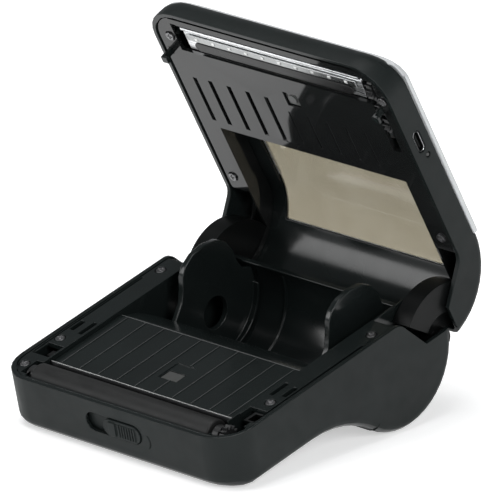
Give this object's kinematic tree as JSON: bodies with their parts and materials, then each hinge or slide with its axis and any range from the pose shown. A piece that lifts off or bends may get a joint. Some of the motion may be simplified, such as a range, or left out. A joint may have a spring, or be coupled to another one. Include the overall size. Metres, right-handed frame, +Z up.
{
  "type": "label maker",
  "caption": "Portable thermal label printer with its hinged lid standing open, showing the roll bay, sliding roll guides, platen roller and print head.",
  "frame": {"origin": "middle of the footprint, on the table under the feet", "axes": "+X to the machine's right as its user sees it, +Y from the front wall towards the hinge, +Z up"},
  "size_m": [0.113, 0.1362, 0.141],
  "materials": {
    "shell": "fine grained charcoal moulding",
    "gloss": "smooth near-black moulding",
    "cover": "satin light grey moulding",
    "smoke": "smoke-tinted clear plastic",
    "rubber": "matte black rubber",
    "steel": "plain steel",
    "chrome": "bright plated",
    "ceramic": "light glazed heating strip",
    "acetal": "black moulded acetal",
    "board": "green solder mask",
    "cell": "dark shrink sleeve",
    "tape": "amber flexible film",
    "lens": "clear lens over dark",
    "motor": "zinc plated can"
  },
  "bodies": {
    "base": {"base_shell": "shell", "foot_front_left": "rubber", "foot_front_right": "rubber", "foot_rear_left": "rubber", "foot_rear_right": "rubber", "base_inner_frame": "gloss", "rim_screw_front_left": "steel", "rim_screw_middle_left": "steel", "rim_screw_middle_right": "steel", "rim_screw_rear_left": "steel", "rim_screw_rear_right": "steel", "paper_plate": "gloss", "peel_bar": "steel", "paper_sensor": "lens", "roll_cradle": "gloss", "platen_bushing_left": "acetal", "platen_bushing_right": "acetal", "latch_detent": "steel", "hinge_pin_left": "steel", "hinge_pin_right": "steel"},
    "guide_left": {"roll_guide_left": "gloss"},
    "guide_right": {"roll_guide_right": "gloss"},
    "guide_pinion": {"guide_pinion": "acetal"},
    "platen": {"platen_roller": "rubber", "platen_shaft": "steel", "platen_gear": "acetal"},
    "latch": {"latch_slider": "shell", "latch_bar": "steel"},
    "lid": {"lid_shell": "shell", "lid_top_cover": "cover", "view_window": "smoke", "hinge_ear_left": "gloss", "hinge_ear_right": "gloss", "lid_inner_plate": "gloss", "latch_hook_left": "gloss", "latch_hook_right": "gloss", "lid_screw_front_left": "steel", "lid_screw_front_right": "steel", "lid_screw_rear_left": "steel", "lid_screw_rear_right": "steel", "head_cable": "tape", "feed_motor": "motor", "battery_pack": "cell", "main_board": "board", "lid_paper_sensor": "lens", "usb_port": "steel", "status_light": "lens", "print_head_carrier": "chrome", "print_head_ceramic": "ceramic", "print_head_seal": "rubber", "head_spring_left": "steel", "head_spring_right": "steel"},
    "drive_gear": {"drive_gear": "acetal"},
    "idler_front": {"idler_gear_front": "acetal"},
    "idler_rear": {"idler_gear_rear": "acetal"},
    "motor_pinion": {"motor_pinion": "steel"},
    "power_button": {"power_button": "cover"}
  },
  "joints": [
    {"name": "lid_hinge", "type": "hinge", "parent": "base", "child": "lid", "pos_m": [0, 0.04917, 0.02818], "axis": [1, 0, 0], "range_deg": [0, 73.5]},
    {"name": "platen_spin", "type": "hinge", "parent": "base", "child": "platen", "pos_m": [0, -0.05887, 0.01874], "axis": [1, 0, 0], "continuous": true},
    {"name": "guide_left_slide", "type": "slide", "parent": "base", "child": "guide_left", "axis": [1, 0, 0], "range_m": [-0.005, 0.024]},
    {"name": "guide_right_slide", "type": "slide", "parent": "base", "child": "guide_right", "axis": [-1, 0, 0], "range_m": [-0.005, 0.024]},
    {"name": "guide_pinion_spin", "type": "hinge", "parent": "base", "child": "guide_pinion", "pos_m": [0, -0.00487, 0.01776], "axis": [0, -0.225, 0.9744], "range_deg": [-72, 344]},
    {"name": "latch_slide", "type": "slide", "parent": "base", "child": "latch", "axis": [-1, 0, 0], "range_m": [0, 0.002]},
    {"name": "drive_gear_spin", "type": "hinge", "parent": "lid", "child": "drive_gear", "pos_m": [0.048, 0.01849, 0.12993], "axis": [1, 0, 0], "continuous": true},
    {"name": "idler_front_spin", "type": "hinge", "parent": "lid", "child": "idler_front", "pos_m": [0.048, 0.02348, 0.12233], "axis": [1, 0, 0], "continuous": true},
    {"name": "idler_rear_spin", "type": "hinge", "parent": "lid", "child": "idler_rear", "pos_m": [0.048, 0.02767, 0.11493], "axis": [1, 0, 0], "continuous": true},
    {"name": "motor_pinion_spin", "type": "hinge", "parent": "lid", "child": "motor_pinion", "pos_m": [0.048, 0.03204, 0.10985], "axis": [1, 0, 0], "continuous": true},
    {"name": "power_button_press", "type": "slide", "parent": "lid", "child": "power_button", "axis": [0, -0.8704, -0.4924], "range_m": [0, 0.0008], "stiffness_N_per_m": 1200, "springref_m": -0.0005}
  ],
  "couplings": [
    {"joint": "guide_right_slide", "follows": "guide_left_slide", "ratio": 1},
    {"joint": "guide_pinion_spin", "follows": "guide_left_slide", "rad_per_m": 250},
    {"joint": "idler_front_spin", "follows": "drive_gear_spin", "ratio": -1.1429},
    {"joint": "idler_rear_spin", "follows": "drive_gear_spin", "ratio": 1.1429},
    {"joint": "motor_pinion_spin", "follows": "drive_gear_spin", "ratio": -2}
  ]
}
